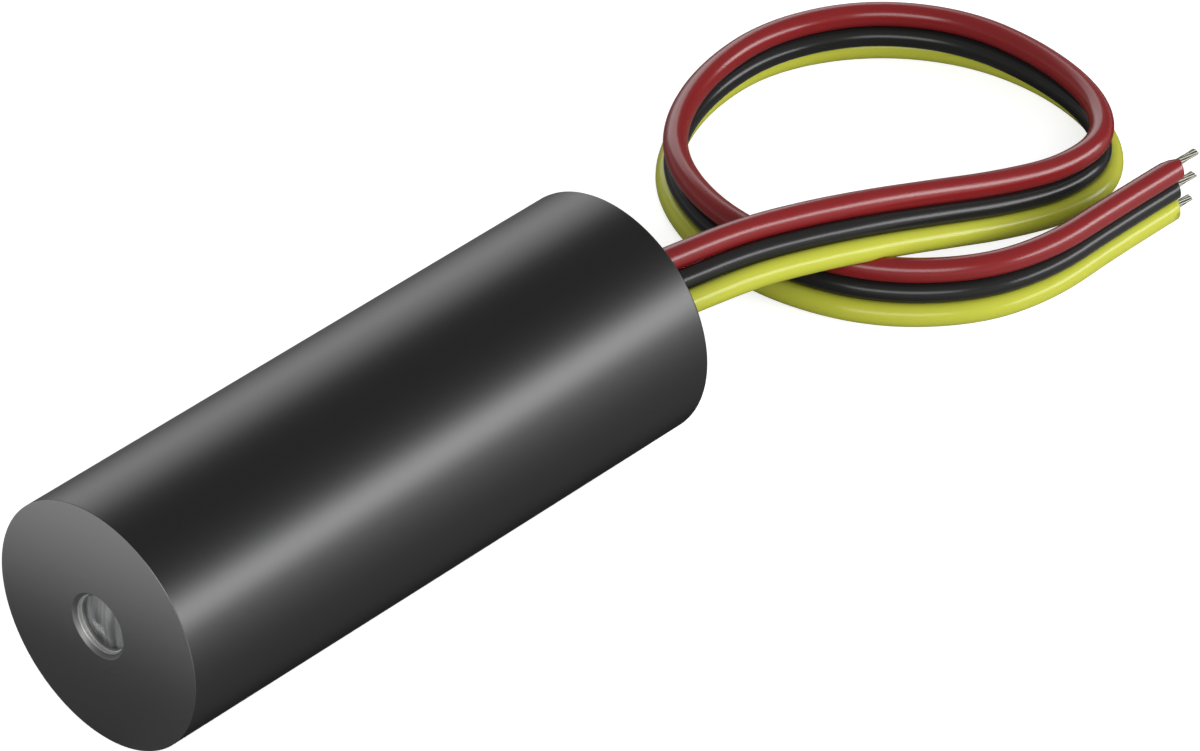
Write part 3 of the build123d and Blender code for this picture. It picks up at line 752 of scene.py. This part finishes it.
class LASER_OT_leads(bpy.types.Operator):
    """Make the three bonded leads with their bare strands"""
    bl_idname = "laser_module.leads"
    bl_label = "Leads"

    def execute(self, context):
        sizes = context.scene.laser_leads
        finishes = context.scene.laser_finishes
        tin = grained_material("tinned_strands", finishes.tin, TIN)
        for lead in LEADS:
            vinyl = grained_material("jacket_" + lead.colour, getattr(finishes, lead.colour),
                                     VINYL._replace(gloss=lead.gloss))
            diameter = getattr(sizes, lead.colour + "_diameter")
            shift = UPPER_LEFT * lead.strands_off
            piece, path = make_jacket(lead, diameter, shift, vinyl, sizes)
            strands = make_strands(lead, path, shift, tin, sizes)
        return {"FINISHED"}


class LASER_OT_housing(bpy.types.Operator):
    """Make the turned housing with its beam hole"""
    bl_idname = "laser_module.housing"
    bl_label = "Housing"

    def execute(self, context):
        sizes = context.scene.laser_body
        outer = sizes.body_diameter / 2
        front = -sizes.body_length / 2
        rear = sizes.body_length / 2
        hole = sizes.beam_hole / 2
        throat = hole - sizes.hole_bevel
        front_bore = sizes.front_bore / 2
        rear_bore = sizes.rear_bore / 2
        wall = front + sizes.front_wall
        shoulder = front + sizes.shoulder_depth
        shape = bmesh.new()
        straight_wire(shape, [
            (hole, front), (outer, front), (outer, rear), (rear_bore, rear), (rear_bore, shoulder),
            (front_bore, shoulder), (front_bore, wall), (throat, wall), (throat, front + sizes.hole_bevel),
            (hole, front),
        ])
        spin_wire(shape, sizes.segments)
        round_rims(shape, [(outer, front, sizes.front_rounding), (outer, rear, sizes.rear_rounding),
                           (hole, front, sizes.hole_rounding)])
        piece = object_from("turned_housing", shape, anodised_material(sizes, context.scene.laser_finishes))
        keep_flats_flat(piece)
        finish_piece(piece, "black_anodised", "housing")
        return {"FINISHED"}


class LASER_OT_lens(bpy.types.Operator):
    """Make the lens and the barrel that holds it"""
    bl_idname = "laser_module.lens"
    bl_label = "Lens and barrel"

    def execute(self, context):
        sizes = context.scene.laser_body
        finishes = context.scene.laser_finishes
        self.make_barrel(sizes, finishes)
        self.make_lens(sizes, finishes)
        return {"FINISHED"}

    def make_barrel(self, sizes, finishes):
        """The barrel has a lip in front of the lens, a bore for the lens and a glue groove outside."""
        outer = (BARREL_HIGH.x - BARREL_LOW.x) / 2
        opening = sizes.barrel_opening / 2
        bore = (LENS_HIGH.x - LENS_LOW.x) / 2 + sizes.lens_play
        front, rear = BARREL_LOW.y, BARREL_HIGH.y
        seat = front + sizes.barrel_lip
        groove = outer - sizes.groove_depth
        middle = (front + rear) / 2
        groove_start = middle - sizes.groove_width / 2
        groove_end = middle + sizes.groove_width / 2
        shape = bmesh.new()
        straight_wire(shape, [
            (opening, front), (outer, front), (outer, groove_start), (groove, groove_start),
            (groove, groove_end), (outer, groove_end), (outer, rear), (bore, rear), (bore, seat),
            (opening, seat), (opening, front),
        ])
        spin_wire(shape, sizes.segments)
        round_rims(shape, [(opening, front, sizes.opening_rounding), (outer, rear, sizes.rear_rounding)])
        metal = turned_metal_material("barrel_metal", finishes.bare_metal, spacing=0.00006, depth=0.15,
                                      roughness=0.52)
        piece = object_from("turned_lens_barrel", shape, metal)
        keep_flats_flat(piece)
        finish_piece(piece, "barrel_metal", "lens_barrel")

    def make_lens(self, sizes, finishes):
        """The lens has a shallow front crown inside the barrel's opening and a deeper one behind."""
        rim = (LENS_HIGH.x - LENS_LOW.x) / 2
        front = LENS_LOW.y + sizes.front_crown
        rear = LENS_HIGH.y - sizes.rear_crown
        shape = bmesh.new()
        crown_wire(shape, LENS_LOW.y, front, sizes.barrel_opening / 2, FRONT_CROWN_STEPS)
        straight_wire(shape, [(sizes.barrel_opening / 2, front), (rim, front), (rim, rear),
                              (sizes.rear_opening / 2, rear)])
        crown_wire(shape, LENS_HIGH.y, rear, sizes.rear_opening / 2, REAR_CROWN_STEPS)
        spin_wire(shape, sizes.segments // 2)
        piece = object_from("glass_lens", shape, lens_material(finishes))
        piece.data.set_sharp_from_angle(angle=LENS_SHARP)
        finish_piece(piece, "lens_glass", "collimating_lens")


class LASER_OT_finishes(bpy.types.Operator):
    """Give every carried-over inner piece its finish"""
    bl_idname = "laser_module.finishes"
    bl_label = "Inner finishes"

    def execute(self, context):
        colours = context.scene.laser_finishes
        brass = turned_metal_material("turned_brass", colours.brass, spacing=0.00008, depth=0.3,
                                      roughness=0.32)
        gold = turned_metal_material("plated_steel", colours.gold, spacing=0.00012, depth=0.08,
                                     roughness=0.22)
        steel = grained_material("spring_steel", colours.steel, SPRING_STEEL)
        moulding = grained_material("moulded_black", colours.moulding, MOULDED_PLASTIC)
        board = grained_material("board_lacquer", colours.board, LACQUER)
        ceramic = grained_material("white_ceramic", colours.ceramic, WHITE_CERAMIC)
        tan = grained_material("tan_ceramic", colours.capacitor, TAN_CERAMIC)
        chip = grained_material("dark_chip", colours.chip, DARK_CHIP)
        joint = grained_material("bright_solder", colours.solder, SOLDER)
        window = glass_material("window_glass", colours.window, ior=1.5, roughness=0.02)
        finishes = {
            brass: ("lens_retaining_ring", "diode_holder", "diode_clamp_ring"),
            gold: ("diode_header", "diode_cap", "diode_pins"),
            steel: ("focus_spring",),
            moulding: ("rear_plug", "driver_chip", "power_transistor"),
            board: ("driver_board",),
            ceramic: ("laser_submount",),
            tan: ("chip_capacitors",),
            chip: ("laser_chip", "monitor_photodiode", "chip_resistors"),
            joint: ("solder_joints",),
            window: ("diode_window",),
        }
        for material, names in finishes.items():
            for name in names:
                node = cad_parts[name]
                node.data.materials.clear()
                node.data.materials.append(material)
        return {"FINISHED"}


def floor_shade(tree, settings):
    """The share of the floor's light that the shade takes away, at each place round the body.

    The shade is deepest under the body and straight behind it. It is slanted before the body, lightens
    slowly to its right, and reaches farthest behind it and to its left.
    """
    place = add_node(tree, "ShaderNodeTexCoord").outputs["Object"]
    across, along = add_node(tree, "ShaderNodeSeparateXYZ", inputs={0: place}).outputs[:2]
    right = calculate(tree, "SUBTRACT", across, HOUSING_HIGH.x)
    left = calculate(tree, "SUBTRACT", HOUSING_LOW.x, across)
    before = calculate(tree, "SUBTRACT", HOUSING_LOW.y, along)
    behind = calculate(tree, "SUBTRACT", along, HOUSING_HIGH.y)
    slanted = calculate(tree, "MULTIPLY_ADD", across, -settings.shade_slant, before)
    reached = calculate(tree, "DIVIDE", right, settings.right_reach, clamp=True)
    curved = calculate(tree, "POWER", reached, settings.right_curve)
    beside = calculate(tree, "MULTIPLY_ADD", curved, settings.shade_end - settings.shade_start,
                       settings.shade_start)
    near = calculate(tree, "MAXIMUM", beside, slanted)
    far = calculate(tree, "DIVIDE", calculate(tree, "MAXIMUM", left, behind), settings.far_stretch)
    away = calculate(tree, "MAXIMUM", near, far)
    outside = calculate(tree, "MAXIMUM", calculate(tree, "MAXIMUM", right, left), before)
    under = ramp(tree, outside, UNDER_START, UNDER_FULL)
    depth = calculate(tree, "MULTIPLY_ADD", under, settings.deep_shade - settings.shade_depth,
                      settings.shade_depth)
    return calculate(tree, "MULTIPLY", ramp(tree, away, settings.shade_end, settings.shade_start), depth)


class LASER_OT_stage(bpy.types.Operator):
    """Make the pale floor, the soft lamps and the camera"""
    bl_idname = "laser_module.stage"
    bl_label = "Stage"

    def execute(self, context):
        settings = context.scene.laser_stage
        self.make_floor(settings)
        self.make_sky(context, settings)
        for box in SOFTBOXES:
            self.make_softbox(*box)
        self.make_camera(context, settings)
        context.scene.view_settings.view_transform = "Standard"
        return {"FINISHED"}

    def make_floor(self, settings):
        """A round pale floor, white to the camera. Metal and glass reflect it as shaded near the body."""
        shape = bmesh.new()
        bmesh.ops.create_circle(shape, cap_ends=True, segments=FLOOR_SIDES, radius=settings.floor_radius)
        material, tree, shader = start_material("pale_floor")
        light_path = add_node(tree, "ShaderNodeLightPath").outputs
        mirrored = calculate(tree, "MAXIMUM", light_path["Is Glossy Ray"],
                             light_path["Is Transmission Ray"])
        shade = calculate(tree, "MULTIPLY", floor_shade(tree, settings), mirrored)
        kept = calculate(tree, "SUBTRACT", 1.0, shade)
        seen = calculate(tree, "MAXIMUM", light_path["Is Camera Ray"], mirrored)
        lift = calculate(tree, "MULTIPLY", seen, settings.floor_lift)
        set_inputs(tree, shader, {
            "Base Color": blend_colours(tree, kept, (0, 0, 0, 1), with_alpha(settings.floor)),
            "Roughness": 0.9, "Specular IOR Level": 0.0, "Emission Color": (1, 1, 1, 1),
            "Emission Strength": calculate(tree, "MULTIPLY", lift, kept),
        })
        object_from("floor", shape, material)

    def make_sky(self, context, settings):
        """A plain sky that is pale at the horizon, and dimmer overhead and straight behind the body."""
        world = bpy.data.worlds.new("studio")
        world.use_nodes = True
        tree = world.node_tree
        direction = add_node(tree, "ShaderNodeTexCoord").outputs["Generated"]
        _, along, height = add_node(tree, "ShaderNodeSeparateXYZ", inputs={0: direction}).outputs
        rising = ramp(tree, height, 0.0, SKY_TOP, settings.sky_low, settings.sky_high)
        remaining = ramp(tree, along, BEHIND_START, BEHIND_FULL, 1.0, settings.sky_behind)
        background = tree.nodes["Background"].inputs
        background["Color"].default_value = (1, 1, 1, 1)
        tree.links.new(calculate(tree, "MULTIPLY", rising, remaining), background["Strength"])
        context.scene.world = world

    def make_softbox(self, name, azimuth, elevation, distance, width, height, radiance):
        """An area lamp that looks at the middle of the body."""
        lamp = bpy.data.lights.new(name, "AREA")
        lamp.shape = "RECTANGLE"
        lamp.size = width
        lamp.size_y = height
        lamp.energy = radiance * math.pi * width * height
        holder = bpy.data.objects.new(name, lamp)
        outward = direction_from(azimuth, elevation)
        holder.location = Vector((0, 0, AXIS_HEIGHT)) + outward * distance
        holder.rotation_mode = "QUATERNION"
        holder.rotation_quaternion = (-outward).to_track_quat("-Z", "Y")
        holder.visible_camera = False
        bpy.context.scene.collection.objects.link(holder)

    def make_camera(self, context, settings):
        """A camera at the viewing angle of the picture."""
        camera = bpy.data.cameras.new("camera")
        camera.sensor_fit = "HORIZONTAL"
        camera.sensor_width = 36.0
        camera.lens = settings.camera_lens
        camera.clip_start = 0.01
        camera.clip_end = 10.0
        holder = bpy.data.objects.new("camera", camera)
        holder.location = settings.camera_place
        holder.rotation_mode = "QUATERNION"
        outward = direction_from(settings.camera_azimuth, settings.camera_elevation)
        holder.rotation_quaternion = (-outward).to_track_quat("-Z", "Y")
        context.scene.collection.objects.link(holder)
        context.scene.camera = holder


def direction_from(azimuth, elevation):
    """The unit direction at an azimuth from -Y towards +X and an elevation, both in degrees."""
    turn, rise = math.radians(azimuth), math.radians(elevation)
    return Vector((math.sin(turn) * math.cos(rise), -math.cos(turn) * math.cos(rise), math.sin(rise)))


class LASER_PT_panel(bpy.types.Panel):
    """Lists what this file makes"""
    bl_label = "Laser Diode Module"
    bl_idname = "LASER_PT_panel"
    bl_space_type = "VIEW_3D"
    bl_region_type = "UI"
    bl_category = "Laser Module"

    def draw(self, context):
        for operator in OPERATORS:
            self.layout.operator(operator.bl_idname, text=operator.bl_label)
        for title, holder in GROUPS.items():
            box = self.layout.box()
            box.label(text=holder.__doc__)
            settings = getattr(context.scene, title)
            for name in holder.__annotations__:
                box.prop(settings, name)


OPERATORS = (LASER_OT_leads, LASER_OT_housing, LASER_OT_lens, LASER_OT_finishes, LASER_OT_stage)
GROUPS = {"laser_body": BodySizes, "laser_leads": LeadSizes, "laser_finishes": Finishes,
          "laser_stage": StageSettings}


def register():
    """Adds the settings, the operators and the panel."""
    for name, holder in GROUPS.items():
        bpy.utils.register_class(holder)
        setattr(bpy.types.Scene, name, PointerProperty(type=holder))
    for operator in OPERATORS:
        bpy.utils.register_class(operator)
    bpy.utils.register_class(LASER_PT_panel)


def unregister():
    """Takes the panel, the operators and the settings away again."""
    bpy.utils.unregister_class(LASER_PT_panel)
    for operator in reversed(OPERATORS):
        bpy.utils.unregister_class(operator)
    for name, holder in reversed(GROUPS.items()):
        delattr(bpy.types.Scene, name)
        bpy.utils.unregister_class(holder)


def main():
    """Makes the whole scene with the operators, in order."""
    register()
    bpy.ops.laser_module.leads()
    bpy.ops.laser_module.housing()
    bpy.ops.laser_module.lens()
    bpy.ops.laser_module.finishes()
    bpy.ops.laser_module.stage()


if __name__ == "__main__":
    main()
